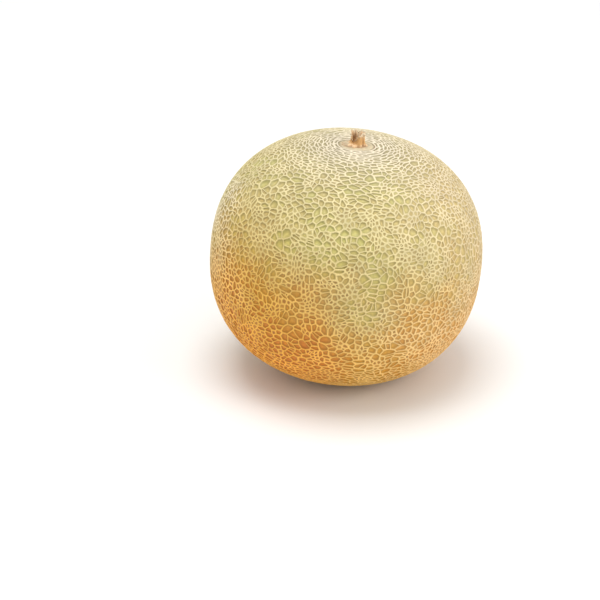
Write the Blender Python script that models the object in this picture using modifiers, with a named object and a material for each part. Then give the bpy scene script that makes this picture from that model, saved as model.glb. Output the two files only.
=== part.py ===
"""A whole cantaloupe melon with its dried stem stub, standing on its blossom end.

Metres, +Z up. The origin is on the surface that the melon stands on, under the middle of its box.
The fruit is one solid: a flattened ball, squarer at the shoulders than an ellipse, with a shallow
hollow round the stem and a raised net of corky cords all over its rind. The net's cells are those
that a scatter of seed points shares the rind into, drawn larger than life. Round the two ends the
cells are pulled long, so that the cords there run in rings. The stub is a solid of its own, which
stands in the hollow: a fluted neck on a clawed foot, broken off ragged round a pit.
"""

import math
import random

import bmesh
import bpy
import numpy as np
from mathutils import Matrix, Vector, geometry

# The fruit, over the tops of its cords
FRUIT_WIDTH = 0.130
FRUIT_HEIGHT = 0.117
SHOULDER_POWER = 2.33
STEM_LEAN = math.radians(4.5)
FLAT_DEPTH = 0.0020
SWELL = 0.008
STEM_HOLLOW_DEPTH = 0.0012
STEM_HOLLOW_RADIUS = 0.013

# The net
CELL_SIZE = 0.0096
CORD_WIDTH = 0.0028
CORD_HEIGHT = 0.0013
CELL_BULGE = 0.0002
LONGEST_TURN = 0.45
STEM_SCAR_RADIUS = 0.0080
BLOSSOM_SCAR_RADIUS = 0.0050
STEM_RINGS = 2.6
BLOSSOM_RINGS = 1.8
STEM_RINGS_REACH = math.radians(30)
BLOSSOM_RINGS_REACH = math.radians(20)
FEWEST_IN_RING = 7
SCATTER = 0.36
SEED = 11

# The stem stub
STUB_HEIGHT = 0.0068
STUB_NECK_RADIUS = 0.0031
STUB_FOOT_RADIUS = 0.0046
STUB_SIDES = 40
STUB_RIBS = 5
RIB_DEPTH = 0.13
CLAWS = 7
CLAW_REACH = 0.0008
RAGGED = 0.0007
CLEARANCE = 0.0003

# Colours, roughness and the angle from which an edge looks sharp
SHARP_EDGE = math.radians(28)
RIND = (0.66, 0.56, 0.30, 1.0)
DRY_STEM = (0.42, 0.24, 0.10, 1.0)
RIND_ROUGHNESS = 0.62
STEM_ROUGHNESS = 0.85

HALF_WIDTH = FRUIT_WIDTH / 2
HALF_HEIGHT = FRUIT_HEIGHT / 2
MEAN_RADIUS = (2 * HALF_WIDTH + HALF_HEIGHT) / 3
STEM_SCAR_ANGLE = STEM_SCAR_RADIUS / HALF_HEIGHT
BLOSSOM_SCAR_ANGLE = BLOSSOM_SCAR_RADIUS / HALF_HEIGHT
CENTRE_HEIGHT = HALF_HEIGHT - FLAT_DEPTH


def clear_scene():
    for thing in list(bpy.data.objects):
        bpy.data.objects.remove(thing)


def finish(name, colour, roughness):
    """A Principled material of one colour."""
    material = bpy.data.materials.new(name)
    material.use_nodes = True
    shader = material.node_tree.nodes["Principled BSDF"]
    shader.inputs["Base Color"].default_value = colour
    shader.inputs["Roughness"].default_value = roughness
    shader.inputs["Metallic"].default_value = 0.0
    return material


def on_rind(theta, phi):
    """The point over the cords' tops at angle theta from the stem and phi round the fruit's axis."""
    out, up = math.sin(theta), math.cos(theta)
    reach = ((out / HALF_WIDTH) ** SHOULDER_POWER + (abs(up) / HALF_HEIGHT) ** SHOULDER_POWER) ** (
        -1 / SHOULDER_POWER
    )
    reach *= 1 + SWELL * out**2 * (0.6 * math.sin(2 * phi + 0.9) + 0.4 * up * math.cos(3 * phi))
    across = reach * out
    hollow = STEM_HOLLOW_DEPTH * math.exp(-((across / STEM_HOLLOW_RADIUS) ** 2)) if up > 0 else 0.0
    return Vector((across * math.cos(phi), across * math.sin(phi), reach * up - hollow))


def ring_pull(theta):
    """How many times longer round the axis than along it a cell is: 1 on the sides, more at the ends."""
    from_stem = theta / STEM_RINGS_REACH
    from_blossom = (math.pi - theta) / BLOSSOM_RINGS_REACH
    return 1 + (STEM_RINGS - 1) * np.exp(-(from_stem**2)) + (BLOSSOM_RINGS - 1) * np.exp(-(from_blossom**2))


# A chart of the rind: the natural log of a plane radius for each angle from the stem. Equal steps
# on the chart, up or round, are the two sides of a square on the sides of the fruit, and of a cell
# pulled long at its ends.
CHART_ANGLES = np.linspace(0.01, math.pi - 0.01, 6000)
CHART_RATE = ring_pull(CHART_ANGLES) / np.sin(CHART_ANGLES)
CHART_STEPS = (CHART_RATE[1:] + CHART_RATE[:-1]) / 2 * np.diff(CHART_ANGLES)
CHART_HEIGHTS = np.concatenate([[0.0], np.cumsum(CHART_STEPS)])
CHART_HEIGHTS -= np.interp(math.pi / 2, CHART_ANGLES, CHART_HEIGHTS)


def chart_height(theta):
    return float(np.interp(theta, CHART_ANGLES, CHART_HEIGHTS))


def angle_at(height):
    return float(np.interp(height, CHART_HEIGHTS, CHART_ANGLES))


def scatter_seeds():
    """Seeds as (theta, phi), in rings from the stem to the blossom end, each moved a little at random."""
    draw = random.Random(SEED)
    seeds = []
    theta = 1.5 * STEM_SCAR_ANGLE
    while theta < math.pi - 1.5 * BLOSSOM_SCAR_ANGLE:
        pull = float(ring_pull(theta))
        step = CELL_SIZE * math.sqrt(0.75) / math.sqrt(pull) / MEAN_RADIUS
        girth = 2 * math.pi * MEAN_RADIUS * math.sin(theta)
        count = max(FEWEST_IN_RING, round(girth / (CELL_SIZE * math.sqrt(pull))))
        start = draw.random()
        for number in range(count):
            phi = 2 * math.pi * (number + start + SCATTER * draw.uniform(-1, 1)) / count
            seeds.append((theta + SCATTER * step * draw.uniform(-1, 1) / math.sqrt(pull), phi))
        theta += step
    return seeds


def share_out(seeds):
    """Triangles between neighbouring seeds, as seed numbers. The two ends are the last two numbers."""
    stem_end, blossom_end = len(seeds), len(seeds) + 1
    plane = [Vector((0.0, 0.0))]
    for theta, phi in seeds:
        radius = math.exp(chart_height(theta))
        plane.append(Vector((radius * math.cos(phi), radius * math.sin(phi))))
    found = geometry.delaunay_2d_cdt(plane, [], [], 0, 0.0, True)
    number = [(origin[0] - 1) % (stem_end + 1) for origin in found[3]]
    triangles = [tuple(number[corner] for corner in face) for face in found[2]]
    sides = {(face[i - 1], face[i]) for face in triangles for i in range(3)}
    rim = [(b, a, blossom_end) for a, b in sides if (b, a) not in sides]
    return triangles + rim


def near(phi, about):
    """The turn of phi that is nearest to the angle about."""
    return about + (phi - about + math.pi) % (2 * math.pi) - math.pi


def junction(triangle, seeds):
    """Where the three cords between three seeds meet, as (theta, phi)."""
    spots = [seeds[number] for number in triangle if number < len(seeds)]
    first = spots[0][1]
    turns = [near(phi, first) for _, phi in spots]
    if len(spots) == 2:
        at_stem = len(seeds) in triangle
        edge = STEM_SCAR_ANGLE if at_stem else math.pi - BLOSSOM_SCAR_ANGLE
        return edge, sum(turns) / 2
    heights = [chart_height(theta) for theta, _ in spots]
    corners = [Vector((turn, height, 0.0)) for turn, height in zip(turns, heights)]
    middle = sum(corners, Vector()) / 3
    # The point as far from all three seeds, which makes straight cords, tempered by their mean.
    ab, ac = corners[1] - corners[0], corners[2] - corners[0]
    twice_area = 2 * ab.cross(ac).z
    even = corners[0] + Vector(
        (
            ac.y * ab.length_squared - ab.y * ac.length_squared,
            ab.x * ac.length_squared - ac.x * ab.length_squared,
            0.0,
        )
    ) / twice_area
    shift = 0.6 * (even - middle)
    longest = 0.5 * max((corner - middle).length for corner in corners)
    if shift.length > longest:
        shift *= longest / shift.length
    spot = middle + shift
    return angle_at(spot.y), spot.x


def cells_round(triangles):
    """For each seed number, the triangles round it, in order, anticlockwise from outside."""
    turns = {}
    for index, (a, b, c) in enumerate(triangles):
        turns.setdefault(a, {})[b] = (c, index)
        turns.setdefault(b, {})[c] = (a, index)
        turns.setdefault(c, {})[a] = (b, index)
    rounds = {}
    for seed, turn in turns.items():
        start = corner = next(iter(turn))
        order = []
        while not order or corner != start:
            corner, index = turn[corner]
            order.append(index)
        rounds[seed] = order
    return rounds


def cord_points(first, last):
    """Points along the cord between two junctions, both ends left out, where it has a ring to follow."""
    (theta_a, phi_a), (theta_b, phi_b) = first, last
    phi_b = near(phi_b, phi_a)
    pieces = max(1, math.ceil(abs(phi_b - phi_a) / LONGEST_TURN))
    shares = [number / pieces for number in range(1, pieces)]
    return [(theta_a + t * (theta_b - theta_a), phi_a + t * (phi_b - phi_a)) for t in shares]


def net_cells():
    """A bmesh of the rind over the cords' tops, with a many-sided face for each cell of the net."""
    seeds = scatter_seeds()
    triangles = share_out(seeds)
    joins = [junction(triangle, seeds) for triangle in triangles]
    mesh = bmesh.new()
    corners = [mesh.verts.new(on_rind(*join)) for join in joins]
    along = {}
    for seed, order in cells_round(triangles).items():
        outline = []
        for a, b in zip(order, order[1:] + order[:1]):
            low, high = sorted((a, b))
            if (low, high) not in along:
                spots = cord_points(joins[low], joins[high])
                along[low, high] = [mesh.verts.new(on_rind(*spot)) for spot in spots]
            between = along[low, high]
            outline += [corners[a], *(between if a == low else reversed(between))]
        face = mesh.faces.new(outline)
        face.tag = seed >= len(seeds)
    mesh.normal_update()
    return mesh


def narrowest(face):
    """Distance from the middle of a cell to its nearest cord."""
    middle = face.calc_center_median()
    distances = []
    for edge in face.edges:
        a, b = (vert.co for vert in edge.verts)
        foot, share = geometry.intersect_point_line(middle, a, b)
        distances.append((middle - foot).length)
    return min(distances)


def sink_cells(mesh):
    """Sinks each cell below its cords, which stay raised, and bulges its floor. The end scars stay."""
    cells = [face for face in mesh.faces if not face.tag]
    for face in cells:
        slope = min(CORD_WIDTH / 2, 0.55 * narrowest(face))
        bmesh.ops.inset_individual(
            mesh, faces=[face], thickness=slope, depth=-CORD_HEIGHT, use_even_offset=True
        )
    bmesh.ops.poke(mesh, faces=cells, offset=CELL_BULGE, center_mode="MEAN")


def make_fruit(collection, axis):
    """The fruit: the netted rind, leaned over with its axis and pressed flat where it stands."""
    mesh = net_cells()
    sink_cells(mesh)
    lean = Matrix.Rotation(STEM_LEAN, 4, "Y")
    to_surface = Matrix.Translation((0, 0, CENTRE_HEIGHT)) @ lean
    for vert in mesh.verts:
        stood = to_surface @ vert.co
        stood.z = max(stood.z, 0.0)
        vert.co = to_surface.inverted() @ stood
    data = bpy.data.meshes.new("fruit")
    mesh.to_mesh(data)
    mesh.free()
    data.shade_smooth()
    data.set_sharp_from_angle(angle=SHARP_EDGE)
    fruit = bpy.data.objects.new("fruit", data)
    fruit.parent = axis
    fruit.data.materials.append(finish("netted_rind", RIND, RIND_ROUGHNESS))
    collection.objects.link(fruit)
    return fruit


def stub_profile():
    """The stub's outline from its foot up and into the broken pit, as (radius, height)."""
    neck, foot, top = STUB_NECK_RADIUS, STUB_FOOT_RADIUS, STUB_HEIGHT
    flare = [
        (neck + (foot - neck) * math.exp(-5.5 * share), 0.85 * top * share)
        for share in (0.0, 0.06, 0.14, 0.26, 0.42, 0.62, 0.82, 1.0)
    ]
    broken = [(1.10 * neck, top), (0.72 * neck, 0.97 * top), (0.42 * neck, 0.84 * top), (0.0, 0.78 * top)]
    return [(0.0, 0.0), *flare, *broken]


def make_stub(collection, axis):
    """The dried stem: a profile turned about the fruit's axis, then ribbed, clawed and torn by a formula."""
    outline = stub_profile()[::-1]
    data = bpy.data.meshes.new("stem_profile")
    edges = [(n, n + 1) for n in range(len(outline) - 1)]
    data.from_pydata([(radius, 0.0, height) for radius, height in outline], edges, [])
    turned = bpy.data.objects.new("stem_profile", data)
    collection.objects.link(turned)
    screw = turned.modifiers.new("turn", "SCREW")
    screw.steps = screw.render_steps = STUB_SIDES
    screw.use_merge_vertices = True
    screw.merge_threshold = 0.00001
    bpy.context.view_layer.update()
    graph = bpy.context.evaluated_depsgraph_get()
    solid = bpy.data.meshes.new_from_object(turned.evaluated_get(graph))
    bpy.data.objects.remove(turned)
    for vert in solid.vertices:
        shape_stub_point(vert)
    solid.shade_smooth()
    stub = bpy.data.objects.new("stem_stub", solid)
    stub.parent = axis
    scar_height = max(on_rind(STEM_SCAR_ANGLE, math.radians(turn)).z for turn in range(360))
    stub.location.z = scar_height + CLEARANCE
    stub.data.materials.append(finish("dry_stem", DRY_STEM, STEM_ROUGHNESS))
    collection.objects.link(stub)
    return stub


def shape_stub_point(vert):
    """Ribs the neck, draws the foot out into claws and tears the broken top."""
    radius = math.hypot(vert.co.x, vert.co.y)
    if radius < 1e-6:
        return
    phi = math.atan2(vert.co.y, vert.co.x)
    rise = vert.co.z / STUB_HEIGHT
    ribs = 1 + RIB_DEPTH * (0.7 * math.cos(STUB_RIBS * phi) + 0.3 * math.cos(2 * STUB_RIBS * phi + 1.2))
    claws = CLAW_REACH * math.cos(CLAWS * phi + 0.5) * math.exp(-8 * rise)
    inside = min(1.0, radius / STUB_NECK_RADIUS)
    shaped = radius * (1 + (ribs - 1) * inside) + claws * inside
    torn = RAGGED * (0.6 * math.sin(3 * phi + 1.0) + 0.5 * math.sin(8 * phi)) * max(0.0, (rise - 0.8) / 0.2)
    vert.co = Vector((shaped * math.cos(phi), shaped * math.sin(phi), vert.co.z + torn * inside))


def main():
    clear_scene()
    collection = bpy.data.collections.new("cantaloupe_melon")
    bpy.context.scene.collection.children.link(collection)
    axis = bpy.data.objects.new("fruit_axis", None)
    axis.location.z = CENTRE_HEIGHT
    axis.rotation_euler.y = STEM_LEAN
    collection.objects.link(axis)
    make_fruit(collection, axis)
    make_stub(collection, axis)


main()
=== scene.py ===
"""The looks of a whole cantaloupe melon: its netted rind and its dried, broken stem stub.

Metres, +Z up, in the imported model's frame. Every surface is a formula on numpy arrays: the rind is
shared out among thousands of cells, each sunk between corky cords, and the stub is a profile carried
round the fruit's axis. Colours and roughness are procedural.
"""
import logging
import math
from collections.abc import Callable
from dataclasses import dataclass, field
from enum import Enum

import bpy
import numpy as np
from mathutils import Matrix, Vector, geometry


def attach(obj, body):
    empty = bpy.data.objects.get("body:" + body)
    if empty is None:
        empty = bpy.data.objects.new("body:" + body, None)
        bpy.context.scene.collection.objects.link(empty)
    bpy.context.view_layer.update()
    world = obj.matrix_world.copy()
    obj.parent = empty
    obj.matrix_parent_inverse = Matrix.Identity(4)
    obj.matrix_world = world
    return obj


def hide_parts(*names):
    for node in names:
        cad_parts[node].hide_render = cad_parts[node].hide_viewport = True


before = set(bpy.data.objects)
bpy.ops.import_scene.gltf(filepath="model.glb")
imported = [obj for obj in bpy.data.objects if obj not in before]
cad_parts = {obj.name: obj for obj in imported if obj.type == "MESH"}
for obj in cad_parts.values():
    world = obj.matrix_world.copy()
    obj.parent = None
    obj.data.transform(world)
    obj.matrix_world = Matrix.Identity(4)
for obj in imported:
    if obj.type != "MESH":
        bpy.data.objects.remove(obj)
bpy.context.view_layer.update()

log = logging.getLogger("cantaloupe")

Array = np.ndarray
Socket = bpy.types.NodeSocket
Colour = tuple[float, float, float, float]
TAU = 2 * math.pi
TINY = 1e-9

# A reach is a low and a high value. A shade is two values, and what a tone comes to at each of them
Reach = tuple[float, float]
Shade = tuple[float, float, float, float]


class Slot(str, Enum):
    """The record's material slots, by name. The pieces here are not given them."""

    RIND = "netted_rind"
    STEM = "dry_stem"


# Shapes


def near(phi: Array, about: Array | float) -> Array:
    """The turn of phi that lies nearest to about: phi plus or minus whole turns."""
    return about + (phi - about + math.pi) % TAU - math.pi


def bell(away: Array | float) -> Array:
    """A bell curve: 1 at 0, and e to minus the square of away."""
    return np.exp(-np.square(away))


def ramp(value: Array | float, low: float, high: float) -> Array:
    """0 at low, 1 at high, straight between and held beyond."""
    return np.clip((value - low) / (high - low), 0.0, 1.0)


@dataclass
class Surface:
    """Points with their traits, and faces, gathered part by part for one piece."""

    names: tuple[str, ...]
    points: list[Array] = field(default_factory=list)
    traits: list[Array] = field(default_factory=list)
    faces: list[Array] = field(default_factory=list)
    count: int = 0

    def add(self, points: Array, **traits: Array | float) -> Array:
        """Adds points.

        Args:
            points: One place a row, or a grid of them.
            traits: A number for each point, or one for all, by name. One that is left out is 0.

        Returns:
            The points' numbers, in the shape of the grid.
        """
        shape = points.shape[:-1]
        numbers = self.count + np.arange(math.prod(shape)).reshape(shape)
        values = [np.broadcast_to(traits.get(name, 0.0), shape) for name in self.names]
        self.points.append(points.reshape(-1, 3))
        self.traits.append(np.reshape(values, (len(self.names), numbers.size)))
        self.count += numbers.size
        return numbers

    def join(self, *corners: Array) -> None:
        """Adds faces. Their corners, anticlockwise from outside, are at one place in each array."""
        self.faces.append(np.stack(np.broadcast_arrays(*corners), axis=-1).reshape(-1, len(corners)))

    def wrap(self, grid: Array) -> None:
        """Joins each ring of a grid to the next one, where the last axis goes round and closes."""
        after = np.roll(grid, -1, axis=-1)
        self.join(grid[..., :-1, :], after[..., :-1, :], after[..., 1:, :], grid[..., 1:, :])

    def cap(self, ring: Array, tip: Array) -> None:
        """Closes each ring with a fan to its tip."""
        self.join(ring, np.roll(ring, -1, axis=-1), tip)

    def make(self, name: str, place: Callable[[Array], Array]) -> bpy.types.Object:
        """Makes the smooth-shaded piece.

        Args:
            name: The piece's name.
            place: A function that takes the points to where they belong.

        Returns:
            The new object, at the origin.
        """
        mesh = bpy.data.meshes.new(name)
        faces = [row for part in self.faces for row in part.tolist()]
        mesh.from_pydata(place(np.concatenate(self.points)).tolist(), [], faces)
        for trait, values in zip(self.names, np.concatenate(self.traits, axis=1)):
            layer = mesh.attributes.new(trait, "FLOAT", "POINT")
            layer.data.foreach_set("value", values.astype(np.float32))
        mesh.shade_smooth()
        mesh.validate()
        piece = bpy.data.objects.new(name, mesh)
        bpy.context.scene.collection.objects.link(piece)
        return piece


@dataclass(frozen=True)
class FruitForm:
    """The form over the tops of the cords: a flattened ball, squarer at the shoulders than an ellipse."""

    half_width: float = 0.065
    half_height: float = 0.0585
    shoulder_power: float = 2.33
    lean: float = math.radians(4.5)
    flat_depth: float = 0.0020
    swell: float = 0.008
    hollow_depth: float = 0.0012
    hollow_radius: float = 0.013

    @property
    def mean_radius(self) -> float:
        """The radius of a ball of about the same surface."""
        return (2 * self.half_width + self.half_height) / 3

    @property
    def centre_height(self) -> float:
        """How high the middle of the fruit stands, once it is pressed flat underneath."""
        return self.half_height - self.flat_depth

    def surface(self, theta: Array, phi: Array, depth: Array | float = 0.0) -> Array:
        """Points of the rind about the fruit's own axis.

        The distance from the middle solves (across / half_width)^p + (up / half_height)^p = 1, with
        p the shoulder power, times a slow swell round the axis. A bell curve sinks the hollow round
        the stem. Depth is then taken off along the normal of the same curve.

        Args:
            theta: Angles from the stem end.
            phi: Angles round the axis.
            depth: How far below the cords' tops.

        Returns:
            One point a row, with the middle of the fruit at the origin.
        """
        out, up = np.sin(theta), np.cos(theta)
        power = self.shoulder_power
        reach = ((out / self.half_width) ** power + (np.abs(up) / self.half_height) ** power) ** (-1 / power)
        reach = reach * (1 + self.swell * out**2 * (0.6 * np.sin(2 * phi + 0.9) + 0.4 * up * np.cos(3 * phi)))
        across = reach * out
        hollow = np.where(up > 0, self.hollow_depth * bell(across / self.hollow_radius), 0.0)
        high = reach * up - hollow
        slope_out = (across / self.half_width) ** (power - 1) / self.half_width
        slope_up = np.sign(up) * (np.abs(reach * up) / self.half_height) ** (power - 1) / self.half_height
        steep = np.hypot(slope_out, slope_up)
        across = across - depth * slope_out / steep
        high = high - depth * slope_up / steep
        return np.stack([across * np.cos(phi), across * np.sin(phi), high], axis=-1)

    def stand(self, points: Array) -> Array:
        """Leans points over with the axis, stands them on the ground and presses flat what is below it."""
        cos, sin = math.cos(self.lean), math.sin(self.lean)
        x, y, z = points.T
        high = np.maximum(z * cos - x * sin + self.centre_height, 0.0)
        return np.stack([x * cos + z * sin, y, high], axis=-1)


# Materials


class Paint:
    """A material and short calls for the nodes that the finishes share."""

    def __init__(self, name: str) -> None:
        """Starts a material that holds one Principled shader."""
        self.material = bpy.data.materials.new(name)
        self.material.use_nodes = True
        self.nodes = self.material.node_tree.nodes
        self.shader = self.nodes["Principled BSDF"]
        self.place = self.nodes.new("ShaderNodeTexCoord").outputs["Object"]

    def join(self, source: Socket | float | tuple, target: Socket) -> None:
        """Links a socket to target, or sets target to a plain value."""
        if isinstance(source, bpy.types.NodeSocket):
            self.material.node_tree.links.new(source, target)
        else:
            target.default_value = source

    def trait(self, name: str) -> Socket:
        """A number that the mesh carries at each point."""
        node = self.nodes.new("ShaderNodeAttribute")
        node.attribute_name = name
        return node.outputs["Fac"]

    def along(self, axis: str) -> Socket:
        """The piece's own coordinate along X, Y or Z."""
        node = self.nodes.new("ShaderNodeSeparateXYZ")
        self.join(self.place, node.inputs[0])
        return node.outputs[axis]

    def away(self, spot: tuple[float, float, float]) -> Socket:
        """How far a place is from a spot, in metres."""
        node = self.nodes.new("ShaderNodeVectorMath")
        node.operation = "DISTANCE"
        self.join(self.place, node.inputs[0])
        self.join(spot, node.inputs[1])
        return node.outputs["Value"]

    def stretched(self, scale: tuple[float, float, float], turn_y: float = 0.0) -> Socket:
        """The piece's own coordinates, turned about Y and then scaled along each axis."""
        turn = self.nodes.new("ShaderNodeMapping")
        turn.inputs["Rotation"].default_value = (0.0, turn_y, 0.0)
        self.join(self.place, turn.inputs["Vector"])
        node = self.nodes.new("ShaderNodeMapping")
        node.inputs["Scale"].default_value = scale
        self.join(turn.outputs["Vector"], node.inputs["Vector"])
        return node.outputs["Vector"]

    def noise(
        self, scale: float, detail: float = 3.0, rough: float = 0.55, place: Socket | None = None
    ) -> Socket:
        """Cloudy noise from 0 to 1, with scale patches to a metre."""
        node = self.nodes.new("ShaderNodeTexNoise")
        node.inputs["Scale"].default_value = scale
        node.inputs["Detail"].default_value = detail
        node.inputs["Roughness"].default_value = rough
        self.join(place or self.place, node.inputs["Vector"])
        return node.outputs["Fac"]

    def sums(self, kind: str, first: Socket | float, second: Socket | float) -> Socket:
        """One step of arithmetic, such as ADD or MULTIPLY."""
        node = self.nodes.new("ShaderNodeMath")
        node.operation = kind
        self.join(first, node.inputs[0])
        self.join(second, node.inputs[1])
        return node.outputs[0]

    def spread(self, value: Socket, low: float, high: float, start: float = 0.0, end: float = 1.0) -> Socket:
        """Takes low..high smoothly to start..end, and holds the ends."""
        node = self.nodes.new("ShaderNodeMapRange")
        node.interpolation_type = "SMOOTHSTEP"
        for socket, number in zip(node.inputs[1:5], (low, high, start, end)):
            socket.default_value = number
        self.join(value, node.inputs[0])
        return node.outputs[0]

    def mix(self, share: Socket | float, first: Socket | Colour, second: Socket | Colour) -> Socket:
        """A colour that goes from first to second as share goes from 0 to 1."""
        node = self.nodes.new("ShaderNodeMix")
        node.data_type = "RGBA"
        self.join(share, node.inputs[0])
        self.join(first, node.inputs[6])
        self.join(second, node.inputs[7])
        return node.outputs[2]

    def shade(self, colour: Socket, times: Socket) -> Socket:
        """The colour, darker or lighter by the factor times."""
        node = self.nodes.new("ShaderNodeVectorMath")
        node.operation = "SCALE"
        self.join(colour, node.inputs[0])
        self.join(times, node.inputs["Scale"])
        return node.outputs[0]

    def tinge(self, colour: Socket, share: Socket, tone: Colour) -> Socket:
        """The colour, times tone where share is 1 and unchanged where it is 0."""
        node = self.nodes.new("ShaderNodeVectorMath")
        node.operation = "MULTIPLY"
        self.join(colour, node.inputs[0])
        self.join(self.mix(share, (1.0, 1.0, 1.0, 1.0), tone), node.inputs[1])
        return node.outputs[0]

    def bump(self, height: Socket, reach: float, strength: float) -> None:
        """Leans the shader's normal as height rises and falls by up to reach metres."""
        node = self.nodes.new("ShaderNodeBump")
        node.inputs["Distance"].default_value = reach
        node.inputs["Strength"].default_value = strength
        self.join(height, node.inputs["Height"])
        self.join(node.outputs["Normal"], self.shader.inputs["Normal"])

    def coat(self, colour: Socket, piece: bpy.types.Object) -> None:
        """Gives the shader its colour, and the piece this material."""
        self.join(colour, self.shader.inputs["Base Color"])
        piece.data.materials.append(self.material)


@dataclass(frozen=True)
class RindFinish:
    """Pale corky cords on a tan skin with yellow-green patches, and a peach scar round the stem.

    A grain is a count of noise patches to a metre, and a drift is how far that noise moves an edge.
    A reach is where a tone starts and where it is full.
    """

    cord: Colour = (0.695, 0.59, 0.268, 1.0)
    cord_warm: Colour = (0.73, 0.585, 0.365, 1.0)
    cord_crown_and_highlight: Colour = (0.75, 0.66, 0.505, 1.0)
    cord_left_highlight: Colour = (0.90, 0.825, 0.67, 1.0)
    skin_pit_and_shade: Colour = (0.38, 0.26, 0.07, 1.0)
    skin_tan: Colour = (0.60, 0.47, 0.165, 1.0)
    skin_green: Colour = (0.60, 0.54, 0.16, 1.0)
    skin_warm: Colour = (0.75, 0.535, 0.25, 1.0)
    skin_left_shade: Colour = (0.45, 0.32, 0.125, 1.0)
    skin_crown: Colour = (0.40, 0.34, 0.20, 1.0)
    golden_and_reflection: Colour = (1.21, 0.90, 0.54, 1.0)
    golden_skin_reflection_and_shade: Colour = (1.03, 0.54, 0.05, 1.0)
    blush_and_reflection: Colour = (1.12, 0.80, 0.32, 1.0)
    blush_skin_and_reflection: Colour = (1.10, 0.64, 0.10, 1.0)
    blush_reflection_spot: tuple[float, float, float] = (-0.046, -0.046, 0.040)
    scar_pale: Colour = (0.60, 0.50, 0.31, 1.0)
    scar_peach: Colour = (0.74, 0.50, 0.30, 1.0)
    scar_deep: Colour = (0.36, 0.20, 0.09, 1.0)
    cork_reach: Reach = (0.54, 0.86)
    warm_reach: Reach = (0.045, 0.115)
    left_light_reach: Reach = (-0.005, -0.045)
    golden_reflection_reach: Reach = (0.122, 0.050)
    blush_reflection_reach: Reach = (0.086, 0.030)
    green_reach: Reach = (0.72, 1.12)
    pit_tone_and_shade: Shade = (0.60, 0.10, 0.0, 0.9)
    pale_reach: Reach = (0.1, 0.5)
    peach_reach: Reach = (0.5, 0.95)
    drift_grain: float = 22.0
    side_drift: float = 0.08
    blush_reflection_drift: float = 0.03
    golden_reflection_grain: float = 30.0
    golden_reflection_drift: float = 0.07
    patch_grain: float = 48.0
    patch_tint: float = 0.55
    warm_skin: float = 0.8
    left_shade_share: float = 0.7
    skin_grain: float = 900.0
    skin_mottle: Shade = (0.35, 0.75, 0.90, 1.08)
    painted_foot_shade: Shade = (0.02, 0.32, 1.00, 0.82)
    crest_wear_and_highlight: Shade = (0.88, 0.99, 0.88, 1.07)
    cord_patch_grain: float = 110.0
    cord_patch: Shade = (0.32, 0.68, 0.92, 1.09)
    cord_grain: float = 1700.0
    cord_speckle: Shade = (0.30, 0.72, 0.88, 1.04)
    scar_grain: float = 420.0
    scar_mottle: Shade = (0.3, 0.7, 0.80, 1.08)
    roughness: Shade = (0.0, 1.0, 0.50, 0.80)
    pore_grain: float = 1500.0
    pore_depth: float = 0.00018
    pore_strength: float = 0.7

    def dress(self, piece: bpy.types.Object) -> None:
        """Gives the rind its material."""
        paint = Paint("netted_rind")
        height = paint.trait("cork")
        drift = paint.noise(self.drift_grain, 2.0)
        side = paint.sums("ADD", paint.along("X"), paint.sums("MULTIPLY", drift, self.side_drift))
        warm = paint.spread(side, *self.warm_reach)
        crown = paint.trait("crown")
        cork = paint.spread(height, *self.cork_reach)
        # Painted light and shade towards the left side: paler cords as a highlight, darker pits as shade.
        left = paint.spread(side, *self.left_light_reach)
        # Golden blush low on the front left: partly a ground spot, partly painted orange reflected light.
        ragged = paint.sums("MULTIPLY", drift, self.blush_reflection_drift)
        spot = paint.spread(paint.sums("ADD", paint.away(self.blush_reflection_spot), ragged), *self.blush_reflection_reach)
        # Golden-orange towards the bottom: partly a ground spot, partly painted orange reflected light, and
        # on the skin also painted shade.
        patchy = paint.sums("MULTIPLY", paint.noise(self.golden_reflection_grain, 4.0, 0.6), self.golden_reflection_drift)
        low = paint.spread(paint.sums("ADD", paint.along("Z"), patchy), *self.golden_reflection_reach)
        skin = paint.tinge(self.skin(paint, height, left, warm, crown), low, self.golden_skin_reflection_and_shade)
        cords = paint.tinge(self.cords(paint, height, left, warm, crown), low, self.golden_and_reflection)
        skin = paint.tinge(skin, spot, self.blush_skin_and_reflection)
        colour = paint.mix(cork, skin, paint.tinge(cords, spot, self.blush_and_reflection))
        paint.coat(paint.mix(paint.trait("scar"), colour, self.bare(paint)), piece)
        paint.join(paint.spread(cork, *self.roughness), paint.shader.inputs["Roughness"])
        pores = paint.sums("MULTIPLY", paint.noise(self.pore_grain, 4.0, 0.65), cork)
        paint.bump(pores, self.pore_depth, self.pore_strength)

    def skin(self, paint: Paint, height: Socket, left: Socket, warm: Socket, crown: Socket) -> Socket:
        """The colour between the cords: brown in small pits, partly as painted shade, tan or yellow-green in
        wide cells, with painted shade at the cords' feet and towards the left side.
        """
        tint = paint.trait("tint")
        own = paint.sums("MULTIPLY", tint, self.patch_tint)
        patch = paint.sums("ADD", paint.noise(self.patch_grain, 2.0), own)
        colour = paint.mix(paint.spread(patch, *self.green_reach), self.skin_tan, self.skin_green)
        colour = paint.mix(paint.sums("MULTIPLY", warm, self.warm_skin), colour, self.skin_warm)
        # Painted shade: darker pits towards the left side.
        colour = paint.mix(paint.sums("MULTIPLY", left, self.left_shade_share), colour, self.skin_left_shade)
        colour = paint.mix(crown, colour, self.skin_crown)
        # Small pits turn brown: partly the skin's own colour, partly painted shade in narrow pits.
        colour = paint.mix(paint.spread(tint, *self.pit_tone_and_shade), colour, self.skin_pit_and_shade)
        # Painted shade: the skin darkens from the middle of each cell towards the cords' feet.
        colour = paint.shade(colour, paint.spread(height, *self.painted_foot_shade))
        return paint.shade(colour, paint.spread(paint.noise(self.skin_grain, 2.0), *self.skin_mottle))

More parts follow.
